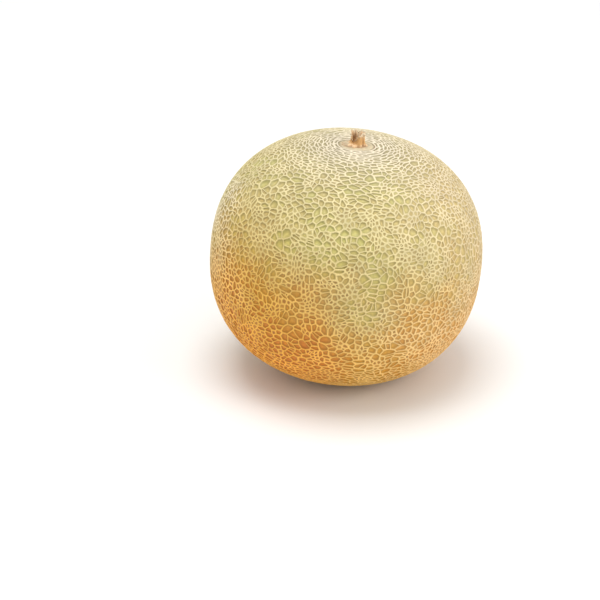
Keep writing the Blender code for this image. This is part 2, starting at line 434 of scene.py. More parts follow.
    def cords(self, paint: Paint, height: Socket, left: Socket, warm: Socket, crown: Socket) -> Socket:
        """The cords' colour: paler along their crests, partly worn cork and partly painted highlight, with
        painted highlight towards the left side and partly round the stem, and grained like cork.
        """
        colour = paint.mix(warm, paint.mix(left, self.cord, self.cord_left_highlight), self.cord_warm)
        # Whiter cords round the stem: partly the net's own colour, partly painted highlight on the fruit's
        # top.
        colour = paint.mix(crown, colour, self.cord_crown_and_highlight)
        # Paler crests and darker flanks: partly worn cork, partly painted highlight and painted shade.
        colour = paint.shade(colour, paint.spread(height, *self.crest_wear_and_highlight))
        colour = paint.shade(colour, paint.spread(paint.noise(self.cord_patch_grain), *self.cord_patch))
        return paint.shade(colour, paint.spread(paint.noise(self.cord_grain), *self.cord_speckle))

    def bare(self, paint: Paint) -> Socket:
        """The scar's colour: pale, with peach ridges and brown gaps where they run in to the stem."""
        ridge = paint.trait("ridge")
        colour = paint.mix(paint.spread(ridge, *self.pale_reach), self.scar_deep, self.scar_pale)
        colour = paint.mix(paint.spread(ridge, *self.peach_reach), colour, self.scar_peach)
        return paint.shade(colour, paint.spread(paint.noise(self.scar_grain, 4.0, 0.65), *self.scar_mottle))


@dataclass(frozen=True)
class StemFinish:
    """Dry, streaked, fibrous stem: peach at its foot, tawny, pale at the torn top, and painted dark as shade
    in its hollow and rib valleys.
    """

    dark: Colour = (0.36, 0.165, 0.055, 1.0)
    tawny: Colour = (0.75, 0.43, 0.17, 1.0)
    pale: Colour = (0.92, 0.82, 0.62, 1.0)
    foot: Colour = (0.86, 0.60, 0.36, 1.0)
    lean: float = 0.0
    squeeze: float = 0.12
    fibre_grain: float = 1100.0
    broad_grain: float = 420.0
    broad_share: float = 0.9
    pale_reach: Reach = (1.06, 1.84)
    foot_reach: Reach = (0.22, 0.04)
    streak_reach: Reach = (0.58, 0.36)
    streak_fade: Shade = (0.3, 1.0, 0.5, 0.15)
    roughness: float = 0.85
    fibre_depth: float = 0.0004
    fibre_strength: float = 0.8

    def dress(self, piece: bpy.types.Object) -> None:
        """Gives the stem its material."""
        paint = Paint(piece.name)
        rise = paint.trait("rise")
        along = paint.stretched((1.0, 1.0, self.squeeze), self.lean)
        fibre = paint.noise(self.fibre_grain, 3.0, 0.6, along)
        broad = paint.sums("MULTIPLY", paint.noise(self.broad_grain, 2.0, 0.5, along), self.broad_share)
        top = paint.spread(paint.sums("ADD", broad, rise), *self.pale_reach)
        colour = paint.mix(top, self.tawny, self.pale)
        colour = paint.mix(paint.spread(rise, *self.foot_reach), colour, self.foot)
        fade = paint.spread(rise, *self.streak_fade)
        streak = paint.sums("MULTIPLY", paint.spread(fibre, *self.streak_reach), fade)
        colour = paint.mix(streak, colour, self.dark)
        # Painted shade: the dark colour where the hollow, the pit and the rib valleys lie in shade.
        paint.coat(paint.mix(paint.trait("pith"), colour, self.dark), piece)
        paint.shader.inputs["Roughness"].default_value = self.roughness
        paint.bump(fibre, self.fibre_depth, self.fibre_strength)


# The fruit


@dataclass(frozen=True)
class Steps:
    """The steps round every cell, each from one junction to the next beside one cord.

    The fields are, step by step, the cell, the cell across the cord, the junctions here and there,
    the next step round the cell and the cord. First is one of each cord's two steps.
    """

    cell: Array
    across: Array
    here: Array
    there: Array
    after: Array
    cord: Array
    first: Array


@dataclass(frozen=True)
class Cords:
    """The cords' tops: the junctions, and then the points along each cord in turn.

    The fields are the tops' angles from the stem and round the axis, and, cord by cord, how many
    pieces it is in, the number of its first point, and the share of it that runs round the axis.
    """

    theta: Array
    phi: Array
    pieces: Array
    own: Array
    roundness: Array


@dataclass(frozen=True)
class Outline:
    """The points round the inside of every cell, one beside each top.

    The fields are, point by point, the cord, the top beside it, the next point round the cell and
    the cell.
    """

    cord: Array
    top: Array
    after: Array
    cell: Array


@dataclass(frozen=True)
class Scar:
    """A bare disc at one end of the fruit, with ridges that run in to its middle and fine rings.

    Reaches and zones are shares of the disc's radius. The ridges run furthest on its long side.
    """

    radius: float
    rise: float
    rounds: int
    ridges: int
    ridge_rise: float
    ridge_width: float
    ridge_reach: tuple[float, float]
    ridge_scatter: float = 0.35
    ridge_swirl: float = 0.5
    long_side: float = math.radians(188)
    long_side_power: int = 4
    stretch: float = 0.30
    close_zone: Reach = (0.42, 0.68)
    rings: float = 4.0
    ring_rise: float = 0.00012
    ring_zone: Reach = (0.45, 0.60)
    crowding: float = 0.85
    roughness: float = 0.00004
    shelf: float = 0.86
    groove: float = 0.6


@dataclass
class NettedRind:
    """The fruit: a closed rind whose corky cords stand above the skin of its cells.

    The rind is charted by a height for each angle from the stem, so that equal steps on the chart,
    up or round, are a square on the sides of the fruit and are pulled long round its two ends. Seeds
    are scattered on it, each triangle of neighbouring seeds holds the junction of three cords, and
    the junctions round a seed are the corners of its cell.
    """

    form: FruitForm = field(default_factory=FruitForm)
    stem_scar: Scar = Scar(0.0092, 0.0003, 16, 19, 0.00040, math.radians(6), (0.42, 0.82))
    blossom_scar: Scar = Scar(0.0045, 0.0001, 6, 7, 0.00012, math.radians(12), (0.5, 0.8))
    cell_size: float = 0.00270
    growth: float = 0.12
    kept: float = 0.80
    parted: float = 0.28
    parted_by: float = 0.25
    scatter: float = 0.50
    shoulder_pull: float = 1.3
    shoulder_reach: float = math.radians(30)
    stem_pull: float = 2.2
    stem_reach: float = math.radians(13)
    blossom_pull: float = 1.0
    blossom_reach: float = math.radians(45)
    fewest_in_ring: int = 7
    chart_margin: float = 0.01
    chart_steps: int = 8000
    ring_spacing: float = 0.75
    loose_pull: Reach = (1.4, 2.2)
    parting: Reach = (0.7, 1.2)
    evenness: float = 0.65
    furthest: float = 0.45
    longest_piece: float = 0.0040
    longest_turn: float = 0.20
    longest_edge_turn: float = 0.06
    waviness: float = 0.09
    waves: int = 48
    shortest_wave: float = 0.008
    longest_wave: float = 0.022
    strain: float = 0.26
    stem_hold: float = math.radians(20)
    blossom_hold: float = math.radians(12)
    oval: float = 0.26
    oval_reach: float = math.radians(18)
    shoulder_width: float = 0.00030
    foot_width: float = 0.00052
    shoulder_depth: float = 0.00009
    foot_depth: float = 0.00060
    floor_depth: float = 0.00056
    unevenness: float = 0.00012
    widest_share: float = 0.66
    widest_in_ring: float = 0.18
    cell_reach: float = 1.2
    thickness_along: Reach = (0.75, 1.25)
    thickness_of_cords: Reach = (0.60, 1.40)
    ring_thickness: float = 2.1
    link_thinness: float = 0.9
    ring_shallowness: float = 0.3
    small_pit_depth: float = 0.6
    crown_reach: float = math.radians(36)
    small_cell: float = 0.0012
    large_cell: float = 0.0026
    flat_from: float = 0.57
    tint_by_size: float = 0.65
    scar_tint: float = 0.7
    shoulder_cork: float = 0.9
    foot_cork: float = 0.3
    seed: int = 5

    def __post_init__(self) -> None:
        """Works out the chart and the draw of random numbers."""
        self.draw = np.random.default_rng(self.seed)
        self.angles = np.linspace(self.chart_margin, math.pi - self.chart_margin, self.chart_steps)
        rate = self.pull(self.angles) / np.sin(self.angles)
        steps = (rate[1:] + rate[:-1]) / 2 * np.diff(self.angles)
        self.heights = np.concatenate([[0.0], np.cumsum(steps)])
        self.heights -= np.interp(math.pi / 2, self.angles, self.heights)
        self.stem_edge = self.stem_scar.radius / self.form.half_height
        self.blossom_edge = math.pi - self.blossom_scar.radius / self.form.half_height
        wave = self.draw.uniform(self.shortest_wave, self.longest_wave, (self.waves, 1))
        wave = wave / self.form.mean_radius
        front, push = self.draw.normal(size=(2, self.waves, 3))
        self.wave_fronts = TAU / wave * front / np.linalg.norm(front, axis=1, keepdims=True)
        self.wave_starts = self.draw.uniform(0, TAU, self.waves)
        self.wave_pushes = self.strain * math.sqrt(2 / self.waves) * wave / TAU * push

    def pull(self, theta: Array | float) -> Array:
        """How many times longer round the axis than along it a cell is: 1, plus a bell curve for each end.

        The stem end has a second, narrower bell curve, for the rings close round the scar.
        """
        shoulder = self.shoulder_pull * bell(theta / self.shoulder_reach)
        stem = self.stem_pull * bell(theta / self.stem_reach)
        return 1 + shoulder + stem + self.blossom_pull * bell((math.pi - theta) / self.blossom_reach)

    def scatter_seeds(self) -> tuple[Array, Array]:
        """Seeds in rings from the stem down, spaced for their cells' size and moved at random.

        Two slow waves crowd and open each ring. Away from the stem some seeds are left out, which
        opens wide cells, and some are parted in two, which makes small ones.

        Returns:
            The seeds' angles from the stem, and round the axis.
        """
        radius = self.form.mean_radius
        thetas, phis = [], []
        theta = self.stem_edge + self.cell_size / 2 / radius
        while theta < self.blossom_edge - self.cell_size / 2 / radius:
            pull = float(self.pull(theta))
            loose = float(1 - ramp(pull, *self.loose_pull))
            kept, parted = 1 - (1 - self.kept) * loose, self.parted * loose
            size = self.cell_size * pull**self.growth * math.sqrt(kept * (1 + parted))
            step = size * math.sqrt(self.ring_spacing / pull) / radius
            girth = TAU * radius * math.sin(theta)
            count = max(self.fewest_in_ring, round(girth / (size * math.sqrt(pull))))
            sideways, along = self.draw.uniform(-1, 1, (2, count))
            turn = (np.arange(count) + self.draw.random() + self.scatter * sideways) / count * TAU
            turn = turn + 0.05 * np.sin(2 * turn + 5 * theta) + 0.04 * np.sin(5 * turn - 9 * theta)
            spot = theta + self.scatter * step * along / math.sqrt(pull)
            stays = self.draw.random(count) < kept
            turn, spot = turn[stays], spot[stays]
            twin = self.draw.random(len(turn)) < parted
            angle = self.draw.uniform(0, TAU, len(turn))
            apart = twin * self.parted_by * size * self.draw.uniform(*self.parting, len(turn))
            down, aside = apart * np.sin(angle) / radius, apart * np.cos(angle) / radius / math.sin(theta)
            thetas += [spot + down, (spot - down)[twin]]
            phis += [turn + aside, (turn - aside)[twin]]
            theta += step
        return np.concatenate(thetas), np.concatenate(phis)

    def share_out(self, theta: Array, phi: Array) -> Array:
        """Triangles between neighbouring seeds, on a plane whose radius is e to the chart's height.

        Args:
            theta: The seeds' angles from the stem.
            phi: The seeds' angles round the axis.

        Returns:
            Three seed numbers a row, anticlockwise from outside. The stem end's number is the count
            of seeds, and the blossom end's the next. Either comes last in its row.
        """
        stem_end, blossom_end = len(theta), len(theta) + 1
        radius = np.exp(np.interp(theta, self.angles, self.heights))
        plane = np.stack([radius * np.cos(phi), radius * np.sin(phi)], axis=-1)
        points = [Vector((0.0, 0.0)), *map(Vector, plane)]
        found = geometry.delaunay_2d_cdt(points, [], [], 0, 0.0, True)
        origin = np.array([names[0] for names in found[3]])
        number = (origin - 1) % (stem_end + 1)
        inner = number[np.array(found[2])]
        sides = np.concatenate([inner[:, [0, 1]], inner[:, [1, 2]], inner[:, [2, 0]]])
        base = blossom_end + 1
        there, back = sides @ (base, 1), sides @ (1, base)
        rim = sides[~np.isin(back, there)]
        outer = np.column_stack([rim[:, 1], rim[:, 0], np.full(len(rim), blossom_end)])
        rows = np.concatenate([inner, outer])
        first = rows.argmax(axis=1)[:, None] + np.arange(1, 4)
        return np.take_along_axis(rows, first % 3, axis=1)

    def junctions(self, rows: Array, theta: Array, phi: Array) -> tuple[Array, Array]:
        """Where three cords meet: between the mean of three seeds and the point as far from all three.

        Args:
            rows: The triangles of seeds.
            theta: The seeds' angles from the stem.
            phi: The seeds' angles round the axis.

        Returns:
            The junctions' angles from the stem, and round the axis.
        """
        count = len(theta)
        height = np.append(np.interp(theta, self.angles, self.heights), [0.0, 0.0])[rows]
        around = np.append(phi, [0.0, 0.0])[rows]
        around = near(around, around[:, :1])
        corners = np.stack([around, height], axis=-1)
        middle = corners.mean(axis=1)
        one, two = corners[:, 1] - corners[:, 0], corners[:, 2] - corners[:, 0]
        twice = 2 * (one[:, 0] * two[:, 1] - one[:, 1] * two[:, 0])
        one_square, two_square = (one**2).sum(1), (two**2).sum(1)
        even_x = (two[:, 1] * one_square - one[:, 1] * two_square) / twice
        even_y = (one[:, 0] * two_square - two[:, 0] * one_square) / twice
        shift = self.evenness * (corners[:, 0] + np.stack([even_x, even_y], axis=-1) - middle)
        longest = self.furthest * np.linalg.norm(corners - middle[:, None], axis=-1).max(axis=1)
        length = np.linalg.norm(shift, axis=-1)
        middle = middle + shift * np.minimum(1.0, longest / np.maximum(length, TINY))[:, None]
        at_end = rows[:, 2] >= count
        edge = np.where(rows[:, 2] == count, self.stem_edge, self.blossom_edge)
        down = np.where(at_end, edge, np.interp(middle[:, 1], self.heights, self.angles))
        return down, np.where(at_end, around[:, :2].mean(axis=1), middle[:, 0])

    def walk(self, rows: Array, cells: int) -> Steps:
        """Goes round every cell: each corner of each triangle is one step, from this junction to the next.

        Args:
            rows: The triangles of seeds.
            cells: How many cells there are, with the two ends.

        Returns:
            The steps.
        """
        cell = rows.ravel()
        left, right = np.roll(rows, -1, axis=1).ravel(), np.roll(rows, -2, axis=1).ravel()
        here = np.repeat(np.arange(len(rows)), 3)
        order = np.argsort(cell * cells + left)
        after = order[np.searchsorted((cell * cells + left)[order], cell * cells + right)]
        pair = np.minimum(cell, right) * cells + np.maximum(cell, right)
        _, first, cord = np.unique(pair, return_index=True, return_inverse=True)
        return Steps(cell, right, here, here[after], after, cord, first)

    def lay_cords(self, steps: Steps, theta: Array, phi: Array, cells: int) -> Cords:
        """Lays each cord from junction to junction, in pieces, along a line with one slow bend.

        Args:
            steps: The steps round the cells.
            theta: The junctions' angles from the stem.
            phi: The junctions' angles round the axis.
            cells: How many cells there are, with the two ends.

        Returns:
            The cords' tops.
        """
        radius = self.form.mean_radius
        start, end = steps.here[steps.first], steps.there[steps.first]
        start, end = np.minimum(start, end), np.maximum(start, end)
        drop, turn = theta[end] - theta[start], near(phi[end], phi[start]) - phi[start]
        down = drop * radius
        aside = turn * radius * np.sin((theta[start] + theta[end]) / 2)
        length = np.maximum(np.hypot(down, aside), TINY)
        at_end = np.maximum(steps.cell, steps.across)[steps.first] >= cells - 2
        most_turn = np.where(at_end, self.longest_edge_turn, self.longest_turn)
        pieces = np.maximum(length / self.longest_piece, np.abs(turn) / most_turn)
        pieces = np.maximum(np.ceil(pieces), 1).astype(int)
        cord = np.repeat(np.arange(len(start)), pieces - 1)
        own = np.cumsum(pieces - 1) - (pieces - 1)
        share = (np.arange(len(cord)) - own[cord] + 1) / pieces[cord]
        bend = self.waviness * self.draw.uniform(-1, 1, len(start)) * ~at_end
        bend = bend[cord] * np.sin(math.pi * share)
        girth = radius * np.sin(theta[start][cord] + share * drop[cord])
        mid_theta = theta[start][cord] + share * drop[cord] + bend * aside[cord] / radius
        mid_phi = phi[start][cord] + share * turn[cord] - bend * down[cord] / girth
        tops = self.knead(np.concatenate([theta, mid_theta]), np.concatenate([phi, mid_phi]))
        return Cords(*tops, pieces, len(theta) + own, np.abs(aside) / length)

    def knead(self, theta: Array, phi: Array) -> tuple[Array, Array]:
        """Moves places along the rind, so that its cells are drawn long this way and that.

        Each direction from the middle of the fruit is moved by a sum of sines of itself, which is
        held back by a bell curve round either end. The rings close round the stem are then made
        oval, by a share that follows the square of a sine of the angle round the axis.

        Args:
            theta: Angles from the stem.
            phi: Angles round the axis.

        Returns:
            The new angles from the stem, and round the axis.
        """
        out = np.sin(theta)
        way = np.stack([out * np.cos(phi), out * np.sin(phi), np.cos(theta)], axis=-1)
        held = np.maximum(bell(theta / self.stem_hold), bell((math.pi - theta) / self.blossom_hold))
        push = np.sin(way @ self.wave_fronts.T + self.wave_starts) @ self.wave_pushes
        x, y, z = (way + (1 - held)[:, None] * push).T
        theta, phi = np.arctan2(np.hypot(x, y), z), np.arctan2(y, x)
        return theta * (1 - self.oval * np.sin(phi) ** 2 * bell(theta / self.oval_reach)), phi

    def outline(self, steps: Steps, cords: Cords) -> Outline:
        """Gives each cell its own points, one beside each top but the last of every step."""
        pieces = cords.pieces[steps.cord]
        step = np.repeat(np.arange(len(steps.cell)), pieces)
        first = np.cumsum(pieces) - pieces
        number = np.arange(len(step)) - first[step]
        forward = (steps.here < steps.there)[step]
        along = np.where(forward, number, pieces[step] - number)
        cord = steps.cord[step]
        top = np.where(number == 0, steps.here[step], cords.own[cord] + along - 1)
        last = number == pieces[step] - 1
        after = np.where(last, first[steps.after[step]], np.arange(len(step)) + 1)
        return Outline(cord, top, after, steps.cell[step])

    def build(self) -> bpy.types.Object:
        """Builds the rind as one closed mesh.

        Each cell's outline is its cords' tops. Inside it lie the cords' shoulder and, in a cell that
        is wide enough for a flat floor, the cords' foot, each drawn in towards the cell's middle. The
        floor is at the middle itself. How far a cell reaches each way is the root of its points' mean
        square distance from its middle, times the cell reach.
        """
        seed_theta, seed_phi = self.scatter_seeds()
        rows = self.share_out(seed_theta, seed_phi)
        cells = len(seed_theta) + 2
        steps = self.walk(rows, cells)
        cords = self.lay_cords(steps, *self.junctions(rows, seed_theta, seed_phi), cells)
        edge = self.outline(steps, cords)
        cell, ends = edge.cell, edge.cell >= cells - 2

        # The middle of each cell, and how far it reaches along and round the axis
        radius = self.form.mean_radius
        theta = cords.theta[edge.top]
        phi = near(cords.phi[edge.top], np.append(self.knead(seed_theta, seed_phi)[1], [0.0, 0.0])[cell])
        count = np.bincount(cell, minlength=cells)
        mid_theta = np.bincount(cell, theta, cells) / count
        mid_phi = np.bincount(cell, phi, cells) / count
        mid_theta[-2:] = 0.0, math.pi
        to_theta, to_phi = mid_theta[cell] - theta, np.where(ends, 0.0, mid_phi[cell] - phi)
        tall = self.cell_reach * np.sqrt(np.bincount(cell, (to_theta * radius) ** 2, cells) / count)
        wide = np.bincount(cell, (to_phi * radius * np.sin(theta)) ** 2, cells) / count
        wide = self.cell_reach * np.sqrt(wide) + TINY
        openness = ramp(np.hypot(wide, tall), self.small_cell, self.large_cell)
        pit_depth = self.small_pit_depth + (1 - self.small_pit_depth) * openness

        # Thickness differs from cord to cord and along it. Rings are thicker than what joins them
        ringed = (self.pull(theta) - 1) / (self.shoulder_pull + self.stem_pull)
        thick = self.draw.uniform(*self.thickness_along, len(cell))
        thick = thick * self.draw.uniform(*self.thickness_of_cords, len(cords.pieces))[edge.cord]
        along_ring = self.ring_thickness * cords.roundness[edge.cord] - self.link_thinness
        thick = thick * (1 + ringed * along_ring)
        widest = self.widest_share + self.widest_in_ring * ringed
        deep = (1 - self.ring_shallowness * ringed) * pit_depth[cell]
        across = np.minimum(self.foot_width * thick / wide[cell], widest) * to_phi
        up = np.minimum(self.foot_width * thick / tall[cell], widest) * to_theta

        def inward(share: float, depth: float) -> Array:
            """The cells' outlines at a depth, drawn in by a share of a cord's width on every side."""
            return self.form.surface(theta + share * up, phi + share * across, depth * deep)

        # The points, with the traits that the finish reads
        # A small cell's low tint paints it brown: partly the skin's own colour, partly painted shade in a
        # narrow pit.
        tint = self.tint_by_size * openness + (1 - self.tint_by_size) * self.draw.random(cells)
        tint[-2:] = self.scar_tint
        tint, mid_tint = tint[cell], tint[:-2]
        crown, mid_crown = bell(theta / self.crown_reach), bell(mid_theta[:-2] / self.crown_reach)
        skin = Surface(("cork", "tint", "scar", "ridge", "crown"))
        uneven = self.draw.uniform(0, self.unevenness, len(cords.theta))
        tops = self.form.surface(cords.theta, cords.phi, uneven)
        tops = skin.add(tops, cork=1.0, crown=bell(cords.theta / self.crown_reach))[edge.top]
        shoulders = inward(self.shoulder_width / self.foot_width, self.shoulder_depth)
        shoulders = skin.add(shoulders, cork=self.shoulder_cork, tint=tint, crown=crown)
        faint = ends * ramp(np.sin(3 * phi + 2.4), -0.6, 0.8)
        flat = ends | (openness[cell] > self.flat_from)
        feet = {"cork": self.foot_cork, "tint": tint[flat], "crown": crown[flat], "scar": faint[flat]}
        inner = np.copy(shoulders)
        inner[flat] = skin.add(inward(1.0, self.foot_depth)[flat], **feet)
        floors = self.form.surface(mid_theta[:-2], mid_phi[:-2], self.floor_depth * pit_depth[:-2])
        floors = skin.add(floors, tint=mid_tint, crown=mid_crown)

        # The faces, and the scar at each end
        skin.join(tops, tops[edge.after], shoulders[edge.after], shoulders)
        skin.join(*(side[flat] for side in (shoulders, shoulders[edge.after], inner[edge.after], inner)))
        skin.join(inner[~ends], inner[edge.after][~ends], floors[cell[~ends]])
        for end, scar in ((0.0, self.stem_scar), (math.pi, self.blossom_scar)):
            ring = np.flatnonzero(cell == cells - (2 if end == 0.0 else 1))
            ring = ring[np.argsort(phi[ring] % TAU * (1 if end == 0.0 else -1))]
            self.add_scar(skin, scar, end, inner[ring], theta[ring] + up[ring], phi[ring])
        log.info("%d cells, %d cords", cells, len(cords.pieces))
        return skin.make("netted_rind", self.form.stand)

    def add_scar(
        self, skin: Surface, scar: Scar, end: float, feet: Array, theta: Array, phi: Array
    ) -> None:
        """Closes one end of the rind with a bare disc.

        It climbs out of the groove at its edge onto a shelf, and rises evenly to its middle. Ridges
        are bell curves of the angle between a ridge and the point, times a bell curve of the
        distance from the middle. Fine rings are a sine of that distance, broken off here and there
        by a slower one. Peach and brown tones keep close to the middle, and reach furthest on the
        long side, by a power of half of one plus the cosine of the angle from it.

        Args:
            skin: The rind so far.
            scar: The disc's sizes.
            end: The angle from the stem of the disc's middle.
            feet: The numbers of the points on its edge, in order round it.
            theta: Those points' angles from the stem.
            phi: Their angles round the axis.
        """
        edge = np.abs(end - theta)
        rounds = np.arange(1, scar.rounds + 1) / (scar.rounds + 1)
        out = (1 - rounds)[:, None] ** scar.crowding * np.ones_like(edge)
        turn = phi + np.zeros_like(out)
        scatter = self.draw.uniform(-scar.ridge_scatter, scar.ridge_scatter, scar.ridges)
        lines = (np.arange(scar.ridges) + scatter) / scar.ridges * TAU
        side = (0.5 + 0.5 * np.cos(lines - scar.long_side)) ** scar.long_side_power
        reach = scar.ridge_reach[0] + (scar.ridge_reach[1] - scar.ridge_reach[0]) * side
        off = near(turn[..., None] + scar.ridge_swirl * out[..., None], lines) - lines
        ridge = (bell(off / scar.ridge_width) * bell(out[..., None] / reach)).sum(axis=-1)
        broken = ramp(np.sin(2 * turn + 9 * out), -0.6, 0.6)
        fine = np.sin(scar.rings * TAU * out + 0.8 * np.sin(turn)) * ramp(out, *scar.ring_zone) * broken
        rough = self.draw.uniform(-scar.roughness, scar.roughness, out.shape)
        climb = ramp(out, scar.shelf, 1.0)
        groove = scar.groove * self.foot_depth * climb**1.5
        depth = groove - scar.rise * (1 - out) - scar.ridge_rise * ridge - scar.ring_rise * fine - rough
        points = self.form.surface(np.abs(end - out * edge), turn, depth)
        far = (0.5 + 0.5 * np.cos(turn - scar.long_side)) ** scar.long_side_power
        close = 1 - ramp(out - scar.stretch * far, *scar.close_zone)
        tone = 0.5 + close * (np.minimum(ridge, 1.0) - 0.5)
        bare = 0.80 + 0.20 * fine - 0.5 * climb
        cork = self.shoulder_cork - 0.5 * ramp(-fine, 0.2, 1.0)
        traits = {"tint": self.scar_tint, "scar": bare, "ridge": tone, "crown": bell(end)}
        grid = skin.add(points, cork=cork, **traits)
        middle = self.form.surface(np.array([end]), np.zeros(1), -scar.rise)
        tip = skin.add(middle, cork=1.0, scar=1.0, ridge=1.0, crown=bell(end))
        skin.wrap(np.concatenate([feet[None], grid]))
        skin.cap(grid[-1], tip)


# The stem stub


@dataclass
class StemStub:
    """The dried stem: a fluted neck on a clawed foot, split open on one side and torn at the top."""

    form: FruitForm = field(default_factory=FruitForm)
    height: float = 0.0054
    steps: int = 26
    crowding: float = 1.25
    neck: float = 0.0032
    foot: float = 0.0038
    ribs: int = 5
    rib_depth: float = 0.12
    claws: int = 7
    claw_reach: float = 0.0007
    raised: float = 0.0006
    sunk: float = 0.0006
    split_turn: float = math.radians(232)
    split_width: float = math.radians(42)
    split_depth: float = 0.26
    split_drop: float = 0.58
    hollow_split: Reach = (0.35, 0.80)
    hollow_rise: Reach = (0.55, 0.90)
    painted_valley_shade: float = 0.6
    valley_sunk: Reach = (0.2, 0.9)
    valley_rise: Reach = (0.15, 0.45)
    torn: float = 0.0007
    torn_rise: Reach = (0.7, 1.0)
    around: int = 144
    pit_shift: float = 0.50
    pit_shares: tuple[float, ...] = (0.82, 0.66, 0.50, 0.34, 0.18)
    pit_depths: tuple[float, ...] = (0.06, 0.22, 0.44, 0.58, 0.62)
    pit_unevenness: float = 0.2
    shade_turn: float = math.radians(185)
    shade_depths: Reach = (0.12, 0.30)
    light_side: float = 0.3
    fibres: int = 48
    fibre_sides: int = 5
    fibre_steps: int = 7
    fibre_length: Reach = (0.0012, 0.0029)
    fibre_thickness: Reach = (0.00010, 0.00024)
    fibre_lean: Reach = (-0.1, 0.7)
    fibre_sway: Reach = (-0.5, 0.5)
    fibre_inset: float = 0.90
    fibre_foot: float = 0.88
    fibre_taper: float = 0.85
    fibre_tip: float = 0.0001
    fibre_paleness: float = 1.6
    split_fibres: float = 0.85
    seed: int = 3

    def rib(self, phi: Array) -> Array:
        """How much further out than a round neck the stem's surface lies at phi: two cosines."""
        return self.rib_depth * (0.7 * np.cos(self.ribs * phi) + 0.3 * np.cos(2 * self.ribs * phi + 1.2))

    def split(self, phi: Array) -> Array:
        """1 in the middle of the split and 0 away from it, as a bell curve of the angle."""
        return bell((near(phi, self.split_turn) - self.split_turn) / self.split_width)

    def outside(self, rise: Array, phi: Array) -> Array:
        """The stem's radius: a neck that flares down to claws, ribbed, and split on one side.

        Args:
            rise: Share of the height.
            phi: Angle round the axis.

        Returns:
            Radii in metres.
        """
        flare = self.neck + (self.foot - self.neck) * np.exp(-5.5 * rise)
        claws = self.claw_reach * (np.cos(self.claws * phi + 0.5) + 0.4 * np.cos(3 * phi)) * np.exp(-8 * rise)
        open_side = 1 - self.split_depth * self.split(phi) * ramp(rise, 0.12, 0.42)
        widening = 1 + 0.08 * ramp(rise, 0.7, 1.0) ** 2
        return (flare * (1 + self.rib(phi)) + claws) * open_side * widening

    def build(self) -> bpy.types.Object:
        """Builds the stub as a closed surface: underside, outside, torn rim and broken pit.

        The wall's height is its share of the stub's, less the split's drop, plus three waves of
        raggedness near the rim. Each ring of the pit is the rim drawn in, sunk and moved towards the
        split.
        """
        draw = np.random.default_rng(self.seed)
        phi = np.arange(self.around) / self.around * TAU
        stub = Surface(("pith", "rise"))
        whole = 1 - self.split_drop * self.split(phi)
        rise = np.concatenate([[0.0], np.linspace(0, 1, self.steps) ** self.crowding])[:, None]
        ragged = 0.6 * np.sin(3 * phi + 1.0) + 0.5 * np.sin(8 * phi) + 0.9 * draw.uniform(-1, 1, self.around)
        high = self.height * rise * whole + self.torn * ragged * ramp(rise, *self.torn_rise)
        high[0] = -self.sunk
        radius = self.outside(rise, phi)
        wall = np.stack([radius * np.cos(phi), radius * np.sin(phi), high], axis=-1)
        # Painted shade inside the split and along the rib valleys.
        hollow = ramp(self.split(phi), *self.hollow_split) * ramp(rise, *self.hollow_rise)
        sunk = ramp(-self.rib(phi) / self.rib_depth, *self.valley_sunk)
        valley = self.painted_valley_shade * sunk * ramp(rise, *self.valley_rise)
        grid = stub.add(wall, pith=np.maximum(hollow, valley), rise=rise * whole)
        share, deep = np.array(self.pit_shares)[:, None], np.array(self.pit_depths)[:, None]
        uneven = 1 + self.pit_unevenness * draw.uniform(-1, 1, (len(share), self.around))
        toward = np.array([math.cos(self.split_turn), math.sin(self.split_turn), 0.0])
        shift = self.pit_shift * self.neck * toward
        inner = wall[-1] * share[..., None]
        inner[..., 2] = wall[-1, :, 2] * (1 - deep) * uneven
        # Painted shade deep in the pit, strongest on one side, and full at its bottom.
        side = self.light_side + (1 - self.light_side) * ramp(np.cos(phi - self.shade_turn), -0.3, 0.3)
        dark = ramp(deep, *self.shade_depths) * side
        pit = stub.add(inner + (1 - share[..., None]) * shift, pith=dark, rise=whole)
        stub.wrap(np.concatenate([grid, pit]))
        tip = shift + (0.0, 0.0, inner[-1, :, 2].mean())
        stub.cap(pit[-1], stub.add(tip[None], pith=1.0, rise=1.0))
        stub.cap(grid[0][::-1], stub.add(np.array([[0, 0, -self.sunk]])))
        return stub.make("stem_stub_dried", self.place)

    def build_fibres(self) -> bpy.types.Object:
        """Builds the torn fibres on the rim: thin tapering tubes that lean out and curl as they rise."""
        draw = np.random.default_rng(self.seed + 1)
        turn = (np.arange(self.fibres) + draw.uniform(-0.4, 0.4, self.fibres)) / self.fibres * TAU
        length = draw.uniform(*self.fibre_length, self.fibres)
        thick = draw.uniform(*self.fibre_thickness, self.fibres)
        lean_out = draw.uniform(*self.fibre_lean, self.fibres)
        lean_round = draw.uniform(*self.fibre_sway, self.fibres)
        share = np.linspace(0, 1, self.fibre_steps)
        rim = self.fibre_inset * self.outside(np.ones(self.fibres), turn)[:, None]
        length = length * (1 - self.split_fibres * self.split(turn))
        curl = length[:, None] * share**2
        out = rim + lean_out[:, None] * curl
        angle = turn[:, None] + lean_round[:, None] * curl / rim
        foot = self.fibre_foot * self.height * (1 - self.split_drop * self.split(turn))
        high = foot[:, None] + length[:, None] * share
        path = np.stack([out * np.cos(angle), out * np.sin(angle), high], axis=-1)
        corner = np.arange(self.fibre_sides) / self.fibre_sides * TAU
        width = (thick[:, None] * (1 - self.fibre_taper * share))[..., None]
        ring = np.stack([width * np.cos(corner), width * np.sin(corner), 0 * width * corner], axis=-1)
        fibres = Surface(("pith", "rise"))
        grid = fibres.add(path[:, :, None] + ring, rise=self.fibre_paleness)
        ends = fibres.add(path[:, [0, -1]] + ((0, 0, 0), (0, 0, self.fibre_tip)), rise=self.fibre_paleness)
        fibres.wrap(grid)
        fibres.cap(grid[:, 0, ::-1], ends[:, :1])
        fibres.cap(grid[:, -1], ends[:, 1:])
